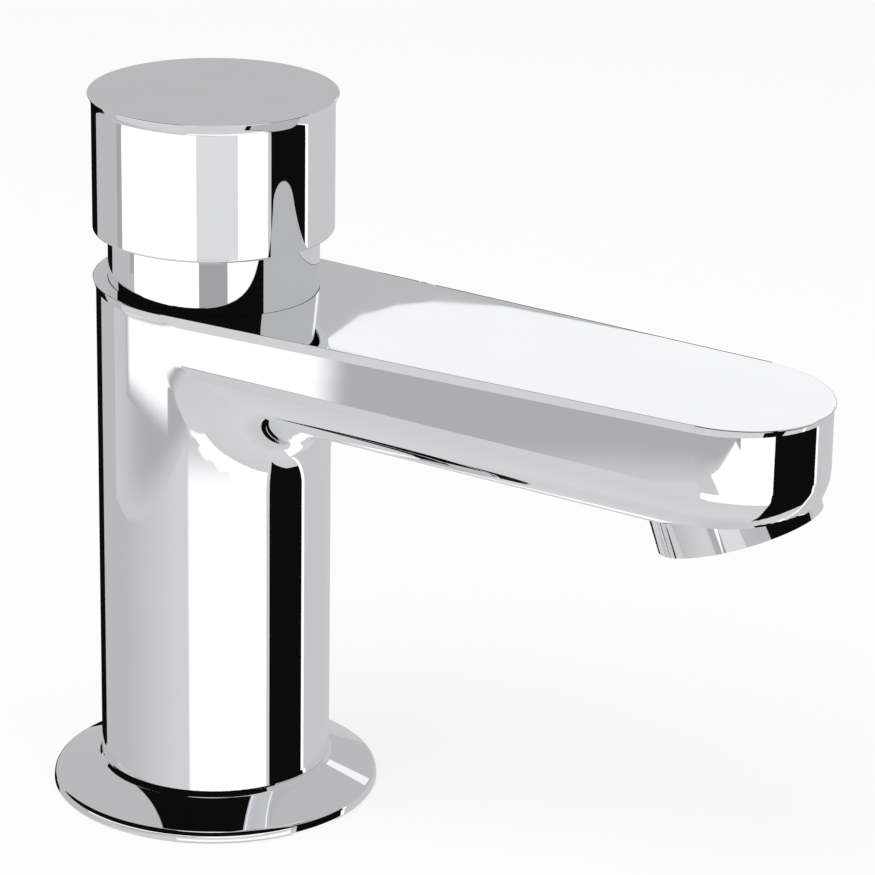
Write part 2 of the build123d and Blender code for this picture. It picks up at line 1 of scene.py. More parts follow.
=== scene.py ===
# %% [markdown]
# # A self-closing basin tap in mirror chrome
# Pressing the round cap opens a valve, and a cartridge inside closes it again some seconds later.
# The CAD frame brings every solid in its right place. This file gives each one its finish, turns
# the polished outer parts again with finely rounded edges, adds the screw threads and the wire
# work, and builds a small studio around the tap. Mirror chrome has hardly any colour of its own,
# so most of the likeness comes from what stands around it.

# %% Tools and the measured frame
import json
import math

import bmesh
import bpy
import numpy as np
from mathutils import Matrix, Vector

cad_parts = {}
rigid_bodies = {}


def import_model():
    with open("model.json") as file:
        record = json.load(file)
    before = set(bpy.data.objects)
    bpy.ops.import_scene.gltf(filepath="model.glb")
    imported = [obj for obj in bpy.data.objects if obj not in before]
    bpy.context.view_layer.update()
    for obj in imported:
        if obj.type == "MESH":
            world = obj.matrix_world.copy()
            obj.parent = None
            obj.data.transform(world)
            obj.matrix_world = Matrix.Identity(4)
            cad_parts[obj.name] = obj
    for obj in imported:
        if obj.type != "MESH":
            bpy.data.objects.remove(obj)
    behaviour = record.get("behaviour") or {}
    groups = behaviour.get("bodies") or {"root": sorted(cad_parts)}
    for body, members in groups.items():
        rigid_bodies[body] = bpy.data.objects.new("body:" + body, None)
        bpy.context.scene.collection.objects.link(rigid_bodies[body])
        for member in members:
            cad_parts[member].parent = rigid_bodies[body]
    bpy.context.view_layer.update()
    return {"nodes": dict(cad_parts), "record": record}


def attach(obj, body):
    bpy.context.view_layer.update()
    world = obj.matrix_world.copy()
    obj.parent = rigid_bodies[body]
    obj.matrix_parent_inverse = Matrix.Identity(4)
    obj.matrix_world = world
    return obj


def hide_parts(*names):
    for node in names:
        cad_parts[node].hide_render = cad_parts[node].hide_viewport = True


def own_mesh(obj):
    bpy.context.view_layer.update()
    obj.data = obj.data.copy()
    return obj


for leftover in list(bpy.data.objects):
    bpy.data.objects.remove(leftover)
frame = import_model()
nodes = frame["nodes"]
MM = 0.001

# %% [markdown]
# ## Shader helpers
# A finish can be painted as a picture or built from nodes. Nodes are used here, because they stay
# sharp at any distance and need no unwrapping. Two helpers keep the node code short: one makes a
# node and sets its values, the other makes a group with named inputs and outputs, so that the same
# effect can sit in several materials with different numbers.

# %% Helpers for nodes and groups
NOISE_LOW, NOISE_HIGH = 0.3, 0.7


def add_node(tree, kind, **settings):
    """A new node. Settings whose names match an input socket go there, the others to the node."""
    node = tree.nodes.new(kind)
    for key, value in settings.items():
        socket = key.replace("_", " ").title()
        if hasattr(node, key):
            setattr(node, key, value)
        else:
            node.inputs[socket].default_value = value
    return node


def new_group(name, inputs, outputs):
    """A shader node group. Inputs are (name, default value), outputs are names of float sockets."""
    group = bpy.data.node_groups.new(name, "ShaderNodeTree")
    for label, value in inputs:
        socket = group.interface.new_socket(label, in_out="INPUT", socket_type="NodeSocketFloat")
        socket.default_value = value
    for label in outputs:
        group.interface.new_socket(label, in_out="OUTPUT", socket_type="NodeSocketFloat")
    print("group", name)
    return group, group.nodes.new("NodeGroupInput"), group.nodes.new("NodeGroupOutput")


def scaled_noise(group, start, place, detail):
    """A noise whose scale comes from the group's Scale input. Returns its value socket."""
    noise = add_node(group, "ShaderNodeTexNoise", detail=detail)
    group.links.new(place, noise.inputs["Vector"])
    group.links.new(start.outputs["Scale"], noise.inputs["Scale"])
    return noise.outputs[0]


def between(group, value, start, low, high):
    """Spreads a noise's middle values over the range between two of the group's inputs."""
    spread = add_node(group, "ShaderNodeMapRange")
    spread.inputs["From Min"].default_value = NOISE_LOW
    spread.inputs["From Max"].default_value = NOISE_HIGH
    group.links.new(value, spread.inputs["Value"])
    group.links.new(start.outputs[low], spread.inputs["To Min"])
    group.links.new(start.outputs[high], spread.inputs["To Max"])
    return spread.outputs["Result"]


def dimmed(group, value, start):
    """A shade that is 1 where the noise is low and sinks to the Dim input where it is high."""
    fall = add_node(group, "ShaderNodeMapRange")
    fall.inputs["From Min"].default_value = NOISE_HIGH
    fall.inputs["From Max"].default_value = NOISE_LOW
    group.links.new(value, fall.inputs["Value"])
    group.links.new(start.outputs["Dim"], fall.inputs["To Min"])
    return fall.outputs["Result"]


# %% [markdown]
# ## The mop's faint patches
# Polished chrome is not equally smooth everywhere, because the mop leaves faint patches. A soft
# noise in the object's own space is enough for them. It varies the roughness a little, and the
# shade even less, so that the metal still reads as one clean mirror.

# %% The mop's group
patches, start, end = new_group(
    "mop patches", [("Scale", 40.0), ("Smooth", 0.02), ("Hazy", 0.05), ("Dim", 0.97)],
    ["Roughness", "Shade"],
)
place = add_node(patches, "ShaderNodeTexCoord").outputs["Object"]
cloud = scaled_noise(patches, start, place, 3.0)
patches.links.new(between(patches, cloud, start, "Smooth", "Hazy"), end.inputs["Roughness"])
patches.links.new(dimmed(patches, cloud, start), end.inputs["Shade"])

# %% [markdown]
# ## The lathe's fine rings
# A turned part carries fine rings from the tool. They depend only on the distance from the axis
# and on the height, so the noise is read at just those two values and repeats all the way round.

# %% The lathe's group
rings, start, end = new_group(
    "lathe rings", [("Scale", 3000.0), ("Smooth", 0.2), ("Hazy", 0.4), ("Dim", 0.9)],
    ["Roughness", "Shade", "Height"],
)
place = add_node(rings, "ShaderNodeTexCoord").outputs["Object"]
parts = add_node(rings, "ShaderNodeSeparateXYZ")
rings.links.new(place, parts.inputs[0])
flat = add_node(rings, "ShaderNodeCombineXYZ")
rings.links.new(parts.outputs["X"], flat.inputs["X"])
rings.links.new(parts.outputs["Y"], flat.inputs["Y"])
radius = add_node(rings, "ShaderNodeVectorMath", operation="LENGTH")
rings.links.new(flat.outputs[0], radius.inputs[0])
track = add_node(rings, "ShaderNodeCombineXYZ")
rings.links.new(radius.outputs["Value"], track.inputs["X"])
rings.links.new(parts.outputs["Z"], track.inputs["Z"])
groove = scaled_noise(rings, start, track.outputs[0], 2.0)
rings.links.new(between(rings, groove, start, "Smooth", "Hazy"), end.inputs["Roughness"])
rings.links.new(dimmed(rings, groove, start), end.inputs["Shade"])
rings.links.new(groove, end.inputs["Height"])

# %% [markdown]
# ## The mould's grain
# Moulded rubber and plastic have an even, fine grain from the mould's wall. A plain noise with more
# detail gives it, and it goes out as a height as well, for a bump.

# %% The mould's group
grain, start, end = new_group(
    "mould grain", [("Scale", 2500.0), ("Smooth", 0.5), ("Hazy", 0.7), ("Dim", 0.9)],
    ["Roughness", "Shade", "Height"],
)
place = add_node(grain, "ShaderNodeTexCoord").outputs["Object"]
speck = scaled_noise(grain, start, place, 4.0)
grain.links.new(between(grain, speck, start, "Smooth", "Hazy"), end.inputs["Roughness"])
grain.links.new(dimmed(grain, speck, start), end.inputs["Shade"])
grain.links.new(speck, end.inputs["Height"])

# %% [markdown]
# ## The finishes
# Each material slot of the record gets one material. The effect group drives the roughness and a
# slight change of shade, and its height feeds a bump. Metal is simply Metallic at 1, and the base
# colour is then the colour of the reflection. A Mix node has a set of sockets for each kind of
# data, and the three numbers below pick those for colours.

# %% A finish from an effect group
MIX_FIRST, MIX_SECOND, MIX_RESULT = 6, 7, 2


def finish(name, group, colour, metallic, values, bump=0.0):
    """A material whose roughness, shade and bump come from an effect group. The bump is in metres."""
    material = bpy.data.materials.new(name)
    material.use_nodes = True
    tree = material.node_tree
    shader = tree.nodes["Principled BSDF"]
    shader.inputs["Metallic"].default_value = metallic
    effect = add_node(tree, "ShaderNodeGroup", node_tree=group)
    for label, value in values.items():
        effect.inputs[label].default_value = value
    tree.links.new(effect.outputs["Roughness"], shader.inputs["Roughness"])
    shaded = add_node(tree, "ShaderNodeMix", data_type="RGBA", blend_type="MULTIPLY")
    shaded.inputs["Factor"].default_value = 1.0
    shaded.inputs[MIX_FIRST].default_value = (*colour, 1.0)
    tree.links.new(effect.outputs["Shade"], shaded.inputs[MIX_SECOND])
    tree.links.new(shaded.outputs[MIX_RESULT], shader.inputs["Base Color"])
    if bump:
        relief = add_node(tree, "ShaderNodeBump", distance=bump)
        tree.links.new(effect.outputs["Height"], relief.inputs["Height"])
        tree.links.new(relief.outputs["Normal"], shader.inputs["Normal"])
    return material


finishes = {
    "polished_chrome": finish(
        "polished chrome", patches, (0.93, 0.935, 0.945), 1.0,
        {"Scale": 60.0, "Smooth": 0.012, "Hazy": 0.03, "Dim": 0.985},
    ),
    "raw_brass": finish(
        "turned brass", rings, (0.80, 0.60, 0.30), 1.0,
        {"Scale": 2600.0, "Smooth": 0.18, "Hazy": 0.34, "Dim": 0.86}, 0.00002,
    ),
    "stainless_steel": finish(
        "turned stainless steel", rings, (0.62, 0.62, 0.61), 1.0,
        {"Scale": 3400.0, "Smooth": 0.2, "Hazy": 0.36, "Dim": 0.9}, 0.00001,
    ),
    "black_rubber": finish(
        "black rubber", grain, (0.022, 0.022, 0.024), 0.0,
        {"Scale": 1800.0, "Smooth": 0.55, "Hazy": 0.75, "Dim": 0.7}, 0.00004,
    ),
    "white_acetal": finish(
        "white acetal", grain, (0.80, 0.80, 0.77), 0.0,
        {"Scale": 900.0, "Smooth": 0.32, "Hazy": 0.45, "Dim": 0.94}, 0.00001,
    ),
    "grey_plastic": finish(
        "grey plastic", grain, (0.12, 0.125, 0.13), 0.0,
        {"Scale": 1100.0, "Smooth": 0.35, "Hazy": 0.5, "Dim": 0.9}, 0.00001,
    ),
}
print("finishes:", len(finishes))

# %% Every solid gets the finish of its slot
slots = {part["node"]: part["material_slot"] for part in frame["record"]["subparts"]}
bodies = {node: body for body, held in frame["record"]["behaviour"]["bodies"].items() for node in held}
for name, solid in nodes.items():
    solid.data.materials.clear()
    solid.data.materials.append(finishes[slots[name]])
print("finished solids:", len(nodes))

# %% [markdown]
# ## Turning and rounding
# Real polished edges are never sharp: each one is broken by a few tenths of a millimetre and
# catches a thin bright line. A round piece could be built from cylinders, but one outline of its
# half section is shorter and carries every edge. Its corners are rounded by a vertex bevel and it
# is spun about the tap's axis. The normals weigh each face by its area, so that the broad walls
# stay true mirrors right up to their rounded edges.

# %% Helpers for new pieces
WELD = 0.002 * MM
SHARP_ANGLE = 35.0
BREAK_SEGMENTS = 4


def weigh_normals(mesh):
    """Corner normals that lean to the larger faces. Edges past the sharp angle stay sharp."""
    least = math.cos(math.radians(SHARP_ANGLE))
    facing = [face.normal.copy() for face in mesh.polygons]
    area = [face.area for face in mesh.polygons]
    around = [[] for _ in mesh.vertices]
    for face in mesh.polygons:
        for corner in face.vertices:
            around[corner].append(face.index)
    normals = []
    for face in mesh.polygons:
        for corner in face.vertices:
            total = Vector()
            for other in around[corner]:
                if facing[face.index].dot(facing[other]) > least:
                    total += facing[other] * area[other]
            normals.append(total.normalized())
    mesh.shade_smooth()
    mesh.normals_split_custom_set(normals)


def to_mesh(name, bm):
    """A new mesh from a bmesh, which is freed."""
    mesh = bpy.data.meshes.new(name)
    bm.to_mesh(mesh)
    bm.free()
    return mesh


def placed(name, data):
    """A new object in the scene."""
    thing = bpy.data.objects.new(name, data)
    bpy.context.scene.collection.objects.link(thing)
    return thing


def stand_in(name, mesh, node):
    """Makes the object that stands for a CAD node, with the node's body, slot and finish."""
    piece = placed(name, mesh)
    mesh.materials.append(finishes[slots[node]])
    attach(piece, bodies[node])
    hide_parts(node)
    print(name, "faces:", len(mesh.polygons))
    return piece


def new_piece(name, bm, node):
    """Welds a new shape, turns its faces outwards and lets it stand for a CAD node."""
    bmesh.ops.remove_doubles(bm, verts=bm.verts, dist=WELD)
    bmesh.ops.recalc_face_normals(bm, faces=bm.faces)
    mesh = to_mesh(name, bm)
    weigh_normals(mesh)
    return stand_in(name, mesh, node)


def half_section(corners, closed):
    """A wire outline in the XZ plane. Each corner is (radius, height, break) in mm."""
    bm = bmesh.new()
    spots = [bm.verts.new((radius * MM, 0, height * MM)) for radius, height, _ in corners]
    for a, b in zip(spots, spots[1:]):
        bm.edges.new((a, b))
    if closed:
        bm.edges.new((spots[-1], spots[0]))
    for spot, (_, _, size) in zip(spots, corners):
        if size:
            bmesh.ops.bevel(
                bm, geom=[spot], offset=size * MM, offset_type="OFFSET", segments=BREAK_SEGMENTS,
                profile=0.5, affect="VERTICES", material=-1,
            )
    return bm


def spin_round(bm, steps):
    """Spins everything in the bmesh once about the tap's axis."""
    wire = list(bm.verts) + list(bm.edges)
    bmesh.ops.spin(
        bm, geom=wire, cent=(0, 0, 0), axis=(0, 0, 1), angle=math.tau, steps=steps, use_merge=True
    )


# %% [markdown]
# ## The push cap
# The cap is a turned cup with a thin rim that flares out round its top. A small screw at the back
# holds it. The hole could be cut with a boolean, which leaves long thin faces that a mirror shows.
# Here rows of points cross the wall at the hole's height, the faces inside the hole are taken out,
# and the rim that is left is drawn on to a true circle and pushed inwards.

# %% The cap's sizes, in mm
CAP_RADIUS = 21.5
CAP_TOP = 131.7
CAP_BOTTOM = 106.8
CAP_WALL = 1.7
CAP_ROOF = 2.4
CAP_FLARE = 0.8
CAP_FLARE_HEIGHT = 1.6
CAP_STEPS = 192
HOLE_HEIGHT = 126.95
HOLE_RADIUS = 1.55
HOLE_DEPTH = 1.6
HOLE_ROW_SHARES = (0.9, 0.3, -0.3, -0.9)
HOLE_SEARCH = HOLE_RADIUS * 1.2
HOLE_RIM_SEARCH = 4
HOLE_SKIN = 0.2

# %% The cup
bm = half_section(
    [(0, CAP_TOP, 0), (CAP_RADIUS + CAP_FLARE, CAP_TOP, 0.32),
     (CAP_RADIUS, CAP_TOP - CAP_FLARE_HEIGHT, 0.5)]
    + [(CAP_RADIUS, HOLE_HEIGHT + share * HOLE_RADIUS, 0) for share in HOLE_ROW_SHARES]
    + [(CAP_RADIUS, CAP_BOTTOM, 0.4), (CAP_RADIUS - CAP_WALL, CAP_BOTTOM, 0.2),
       (CAP_RADIUS - CAP_WALL, CAP_TOP - CAP_ROOF, 0.3), (0, CAP_TOP - CAP_ROOF, 0)],
    closed=False,
)
spin_round(bm, CAP_STEPS)
bmesh.ops.remove_doubles(bm, verts=bm.verts, dist=WELD)
print("cup faces:", len(bm.faces))

# %% The screw's hole at the back
hole_centre = Vector((-CAP_RADIUS, 0, HOLE_HEIGHT)) * MM
patch = [
    face for face in bm.faces
    if (face.calc_center_median() - hole_centre).length < HOLE_SEARCH * MM
    and face.calc_center_median().xy.length > (CAP_RADIUS - HOLE_SKIN) * MM
]
bmesh.ops.delete(bm, geom=patch, context="FACES")
rim = [
    edge for edge in bm.edges
    if edge.is_boundary and (edge.verts[0].co - hole_centre).length < HOLE_RIM_SEARCH * MM
]
for spot in {spot for edge in rim for spot in edge.verts}:
    away = Vector((0, spot.co.y, spot.co.z - hole_centre.z)).normalized() * HOLE_RADIUS * MM
    spot.co = Vector((-math.sqrt((CAP_RADIUS * MM) ** 2 - away.y ** 2), away.y, hole_centre.z + away.z))
sunk = bmesh.ops.extrude_edge_only(bm, edges=rim)["geom"]
sunk_spots = [item for item in sunk if isinstance(item, bmesh.types.BMVert)]
bmesh.ops.translate(bm, verts=sunk_spots, vec=(HOLE_DEPTH * MM, 0, 0))
new_piece("polished_push_cap", bm, "push_cap")

# %% [markdown]
# ## The neck sleeve
# The sleeve screws on to the cartridge and fills the gap between the body and the cap. Its bore has
# a step where the thread ends. It is a plain tube, so its outline has six corners.

# %% The sleeve
NECK_RADIUS = 18.85
NECK_FOOT = 95.4
NECK_HEIGHT = 22.6
NECK_BORE = 15.05
NECK_THREAD_BORE = 14.05
NECK_THREAD_HEIGHT = 7.6
NECK_STEPS = 160
bm = half_section(
    [(NECK_THREAD_BORE, NECK_FOOT, 0.1), (NECK_RADIUS, NECK_FOOT, 0.15),
     (NECK_RADIUS, NECK_FOOT + NECK_HEIGHT, 0.4), (NECK_BORE, NECK_FOOT + NECK_HEIGHT, 0.2),
     (NECK_BORE, NECK_FOOT + NECK_THREAD_HEIGHT, 0.1),
     (NECK_THREAD_BORE, NECK_FOOT + NECK_THREAD_HEIGHT, 0.1)],
    closed=True,
)
spin_round(bm, NECK_STEPS)
new_piece("polished_neck_sleeve", bm, "neck_collar")

# %% [markdown]
# ## The base flange
# The flange covers the hole in the basin and spreads the load. Its top is a straight cone, because
# the reflections on it are straight too, and its underside has a recess for the rubber seal. The
# wide rounding at the rim gives the bright line that runs round its edge.

# %% The flange
PILLAR_RADIUS = 21.0
FLANGE_RADIUS = 29.9
FLANGE_FOOT = 0.45
FLANGE_FOOT_INSET = 0.3
FLANGE_RIM = 2.0
FLANGE_RIM_INSET = 0.15
CONE_TOP = 5.3
CONE_OUTSET = 0.45
FLANGE_LAND = 6.0
FLANGE_BORE = 17.9
RECESS_RADIUS = 24.0
RECESS_DEPTH = 2.0
FLANGE_STEPS = 192
bm = half_section(
    [(RECESS_RADIUS, 0, 0.1), (FLANGE_RADIUS - FLANGE_FOOT_INSET, 0, 0.15),
     (FLANGE_RADIUS, FLANGE_FOOT, 0.1),
     (FLANGE_RADIUS - FLANGE_RIM_INSET, FLANGE_RIM, 0.6), (PILLAR_RADIUS + CONE_OUTSET, CONE_TOP, 0.15),
     (PILLAR_RADIUS, FLANGE_LAND, 0), (FLANGE_BORE, FLANGE_LAND, 0.1), (FLANGE_BORE, RECESS_DEPTH, 0.1),
     (RECESS_RADIUS, RECESS_DEPTH, 0.1)],
    closed=True,
)
spin_round(bm, FLANGE_STEPS)
new_piece("polished_base_flange", bm, "base_flange")

# %% [markdown]
# ## The casting
# The pillar and the spout melt into each other, and the softness of that place is what a polisher
# works for. A bevel can't give it, because the two walls meet at an angle that changes all the way
# along. So two plain formulas say how far a point lies outside the pillar and outside the spout.
# Where both are near, a smooth minimum eases them into one skin: where the surfaces meet at a wide
# angle the blend is short, and along the pillar's flank, where they almost run together, it grows
# long. It fades out under the top face and on the pillar's back.

# %% The casting's own sizes, in mm
BODY_TOP = 96.9
TOP_DROOP = math.radians(3.0)
SPOUT_ROOT = PILLAR_RADIUS
SPOUT_TIP = 17.5
SPOUT_REACH = 99.0
SPOUT_FLOOR = 77.3
FLOOR_DROOP = math.radians(4.9)
UNDER_RADIUS = 11.0
BLEND = 11.0
BLEND_START = -4
BLEND_LENGTH = 15
LIP_OVERHANG = 0.6
LIP_HEIGHT = 2.4
LIP_SINK = 0.3
SLOPE_STEP = 0.02
TINY = 1e-6


# %% Distances from the pillar, the spout and their blend
def pillar_gap(p):
    """How far points lie outside the pillar."""
    return np.hypot(p[:, 0], p[:, 1]) - PILLAR_RADIUS


def outline_gap(p):
    """How far points lie outside the spout's keyhole outline, seen from above."""
    lean = (SPOUT_ROOT - SPOUT_TIP) / SPOUT_REACH
    straight = math.sqrt(1 - lean * lean)
    along = p[:, 0] * straight - np.abs(p[:, 1]) * lean
    side = np.abs(p[:, 1]) * straight + p[:, 0] * lean - SPOUT_ROOT
    root = np.hypot(p[:, 0], p[:, 1]) - SPOUT_ROOT
    tip = np.hypot(p[:, 0] - SPOUT_REACH, p[:, 1]) - SPOUT_TIP
    return np.where(along < 0, root, np.where(along > SPOUT_REACH * straight, tip, side))


def spout_gap(p):
    """How far points lie outside the spout, with its rounded lower edge."""
    height = (p[:, 2] - SPOUT_FLOOR) * math.cos(FLOOR_DROOP) + p[:, 0] * math.sin(FLOOR_DROOP)
    out, under = outline_gap(p) + UNDER_RADIUS, UNDER_RADIUS - height
    rounded = np.hypot(np.maximum(out, 0), np.maximum(under, 0))
    return np.where((out > 0) & (under > 0), rounded, np.maximum(out, under)) - UNDER_RADIUS


def slope_of(gap, p):
    """The direction in which a distance grows fastest, by small differences."""
    sides = [gap(p + SLOPE_STEP * axis) - gap(p - SLOPE_STEP * axis) for axis in np.eye(3)]
    return np.stack(sides, axis=1) / (2 * SLOPE_STEP)


def skin_gap(p):
    """How far points lie outside the blended skin of pillar and spout."""
    pillar, spout = pillar_gap(p), spout_gap(p)
    across = np.maximum(np.hypot(p[:, 0], p[:, 1]), 0.1)
    agreement = (slope_of(spout_gap, p)[:, :2] * p[:, :2]).sum(axis=1) / across
    reach = BLEND * np.sqrt(np.clip(1 - agreement, TINY, None)) + TINY
    for share in ((BODY_TOP - p[:, 2]) / SPOUT_TIP, (p[:, 0] - BLEND_START) / BLEND_LENGTH):
        share = np.clip(share, 0, 1)
        reach = reach * share * share * (3 - 2 * share) + TINY
    near = np.maximum(reach - np.abs(pillar - spout), 0)
    return np.minimum(pillar, spout) - near * near / (4 * reach)


def below_top(p):
    """Height of points over the drooping top face, negative below it."""
    return (p[:, 2] - BODY_TOP) * math.cos(TOP_DROOP) + p[:, 0] * math.sin(TOP_DROOP)


corner = np.array([[PILLAR_RADIUS, 0.0, SPOUT_FLOOR]])
print("skin over the plain corner under the spout in mm:", round(-float(skin_gap(corner)[0]), 2))

# %% [markdown]
# ## The lip and the top face
# A thin lip flares out round the casting's top and catches a bright line. It is made apart: a loop
# of edges low on the wall and a wider one in the top plane are bridged, the top is filled up to the
# sleeve's hole, and the outer edge is rounded by a bevel.

# %% The lip's loops
ROOT_STEPS = 120
TIP_STEPS = 80
RING_STEPS = 160
RING_GAP = 0.1
LIP_BREAK = 0.3


def keyhole(bm, grow, height):
    """The spout's outline in the drooping top plane, as a loop of edges."""
    lean = math.acos((SPOUT_ROOT - SPOUT_TIP) / SPOUT_REACH)
    root, tip = PILLAR_RADIUS + grow, SPOUT_TIP + grow
    spots = []
    for step in range(ROOT_STEPS + 1):
        angle = lean + (2 * math.pi - 2 * lean) * step / ROOT_STEPS
        spots.append((root * math.cos(angle), root * math.sin(angle)))
    for step in range(TIP_STEPS + 1):
        angle = -lean + 2 * lean * step / TIP_STEPS
        spots.append((SPOUT_REACH + tip * math.cos(angle), tip * math.sin(angle)))
    tip_x, tip_z = math.cos(TOP_DROOP), -math.sin(TOP_DROOP)
    corners = [
        bm.verts.new(Vector((x * tip_x - height * tip_z, y, BODY_TOP + x * tip_z + height * tip_x)) * MM)
        for x, y in spots
    ]
    return [bm.edges.new((a, b)) for a, b in zip(corners, corners[1:] + corners[:1])]


bm = bmesh.new()
root_loop = keyhole(bm, -LIP_SINK, -LIP_HEIGHT)
edge_loop = keyhole(bm, LIP_OVERHANG, 0)
bmesh.ops.bridge_loops(bm, edges=root_loop + edge_loop)
print("faces between the loops:", len(bm.faces))

# %% The top face round the sleeve, and the rounded edge
ring = bmesh.ops.create_circle(bm, segments=RING_STEPS, radius=(NECK_RADIUS + RING_GAP) * MM)["verts"]
for spot in ring:
    spot.co.z = BODY_TOP * MM - spot.co.x * math.tan(TOP_DROOP)
ring_loop = [edge for edge in bm.edges if edge.verts[0] in ring]
bmesh.ops.triangle_fill(bm, edges=edge_loop + ring_loop, use_beauty=True)
bmesh.ops.bevel(
    bm, geom=edge_loop, offset=LIP_BREAK * MM, offset_type="OFFSET", segments=3, profile=0.5,
    affect="EDGES", material=-1,
)
bmesh.ops.recalc_face_normals(bm, faces=bm.faces)
if max(bm.faces, key=lambda face: face.calc_area()).normal.z < 0:
    bmesh.ops.reverse_faces(bm, faces=bm.faces)
lip_mesh = to_mesh("lip and top face", bm)
weigh_normals(lip_mesh)


def note_normals(mesh):
    """Keeps a mesh's corner normals as an attribute, so that they live through editing."""
    kept = mesh.attributes.new("kept_normal", "FLOAT_VECTOR", "CORNER")
    values = np.empty(len(mesh.loops) * 3, np.float32)
    mesh.corner_normals.foreach_get("vector", values)
    kept.data.foreach_set("vector", values)


note_normals(lip_mesh)
print("lip faces:", len(lip_mesh.polygons))

# %% [markdown]
# ## A copy of the solid
# The rest of the casting, with its bores and its outlet, comes from the CAD solid. The work is done
# on a copy, because the solid itself stays as it is. Its corner normals are noted first, and its own
# lip and top face make room for the new ones. Level cuts then part the long wall faces, so that the
# fine division above them doesn't reach down to the flange.

# %% The copy, without its old lip and top face
CUT_HEIGHTS = (9.0, 36.0, 60.0, 68.0)
OLD_LIP_SHARE = 0.7
cast_mesh = nodes["tap_body"].data.copy()
note_normals(cast_mesh)
bm = bmesh.new()
bm.from_mesh(cast_mesh)
bmesh.ops.transform(bm, matrix=nodes["tap_body"].matrix_world, verts=bm.verts)
bmesh.ops.remove_doubles(bm, verts=bm.verts, dist=WELD)


def places(bm):
    """The points of a bmesh in mm."""
    bm.verts.index_update()
    return np.array([spot.co for spot in bm.verts]) / MM


spots = places(bm)
under_top = below_top(spots)
from_axis = np.hypot(spots[:, 0], spots[:, 1])
old_lip = [
    face for face in bm.faces
    if min(under_top[spot.index] for spot in face.verts) > -OLD_LIP_SHARE * LIP_HEIGHT
    and max(from_axis[spot.index] for spot in face.verts) > NECK_RADIUS + LIP_SINK
]
bmesh.ops.delete(bm, geom=old_lip, context="FACES")
print("lip faces taken off:", len(old_lip))

# %% Level cuts through the wall
for height in CUT_HEIGHTS:
    everything = list(bm.verts) + list(bm.edges) + list(bm.faces)
    bmesh.ops.bisect_plane(bm, geom=everything, plane_co=(0, 0, height * MM), plane_no=(0, 0, 1))
bmesh.ops.triangulate(bm, faces=[face for face in bm.faces if len(face.verts) > 3])
print("faces after the cuts:", len(bm.faces))

# %% [markdown]
# ## Fine division where pillar and spout meet
# A skin that bends softly needs small faces where it bends. Dividing everything would cost a great
# many of them, so each pass splits only the longest edges near the junction, at most one for each
# face, until none is longer than its place allows. Turning the remaining edges for the widest
# angles then takes out the slivers, which would show as jagged marks in a mirror.

# %% The places that may follow the blend
WALL_END = 75
WALL_FOOT = FLANGE_LAND + 2
WALL_TOP = -0.6 * LIP_HEIGHT
WALL_DEPTH = 0.35
WALL_OUTSIDE = 5
FINEST_EDGE = 1.0
FINE_REACH = 3
COARSENING = 0.5
PASSES = 20
BEAUTIFY_ABOVE = 50


def on_wall(p):
    """True for points on the outer wall that may follow the blend."""
    plain = np.minimum(pillar_gap(p), spout_gap(p))
    inside = (p[:, 0] < WALL_END) & (p[:, 2] > WALL_FOOT) & (below_top(p) < WALL_TOP)
    return inside & (plain > -WALL_DEPTH) & (plain < WALL_OUTSIDE)


# %% The division
for _ in range(PASSES):
    spots = places(bm)
    wall = on_wall(spots)
    long_edges = [edge for edge in bm.edges if wall[edge.verts[0].index] and wall[edge.verts[1].index]]
    middles = np.array([(edge.verts[0].co + edge.verts[1].co) / 2 for edge in long_edges]) / MM
    lengths = np.array([edge.calc_length() for edge in long_edges]) / MM
    away = np.maximum(np.abs(pillar_gap(middles)), np.abs(spout_gap(middles)))
    excess = lengths / (FINEST_EDGE + COARSENING * np.maximum(away - FINE_REACH, 0))
    taken, cuts = set(), []
    for place in np.argsort(-excess, kind="stable"):
        sides = set(long_edges[place].link_faces)
        if excess[place] > 1 and not sides & taken:
            cuts.append(long_edges[place])
            taken |= sides
    if not cuts:
        break
    bmesh.ops.subdivide_edges(bm, edges=cuts, cuts=1, use_single_edge=True)
print("faces after division:", len(bm.faces))

# %% Better angles
wall = on_wall(places(bm))
fine = [
    face for face in bm.faces
    if all(wall[spot.index] and spot.co.z > BEAUTIFY_ABOVE * MM for spot in face.verts)
]
fine_faces = set(fine)
inner = [
    edge for edge in bm.edges
    if len(edge.link_faces) == 2 and any(face in fine_faces for face in edge.link_faces)
]
inner.sort(key=lambda edge: edge.calc_length())
bmesh.ops.beautify_fill(bm, faces=fine, edges=inner, method="ANGLE")
print("edges that may turn:", len(inner))

# %% [markdown]
# ## Easing the points on to the skin
# Each point of the wall walks down the slope of the distance formula until it lies on the blended
# skin. A few steps are enough, because the formula is nearly a true distance. A smoothing brush
# could round the junction too, but it would pull the straight walls along.

# %% The easing
EASE_STEPS = 6
spots = places(bm)
wall = on_wall(spots)
eased = spots[wall]
for _ in range(EASE_STEPS):
    lean = slope_of(skin_gap, eased)
    eased = eased - (skin_gap(eased) / (lean * lean).sum(axis=1))[:, None] * lean
print("furthest move in mm:", round(float(np.abs(eased - spots[wall]).max()), 2))
spots[wall] = eased
for spot, place in zip(bm.verts, spots):
    spot.co = Vector(place) * MM
bm.from_mesh(lip_mesh)
cast_mesh = to_mesh("cast_body", bm)

# %% [markdown]
# ## Normals from the skin itself
# A mirror shows the smallest kink between faces. On the wall the slope of the same formula gives the
# exact normal at every corner, and everywhere else the noted normals of the solid and the lip stay.

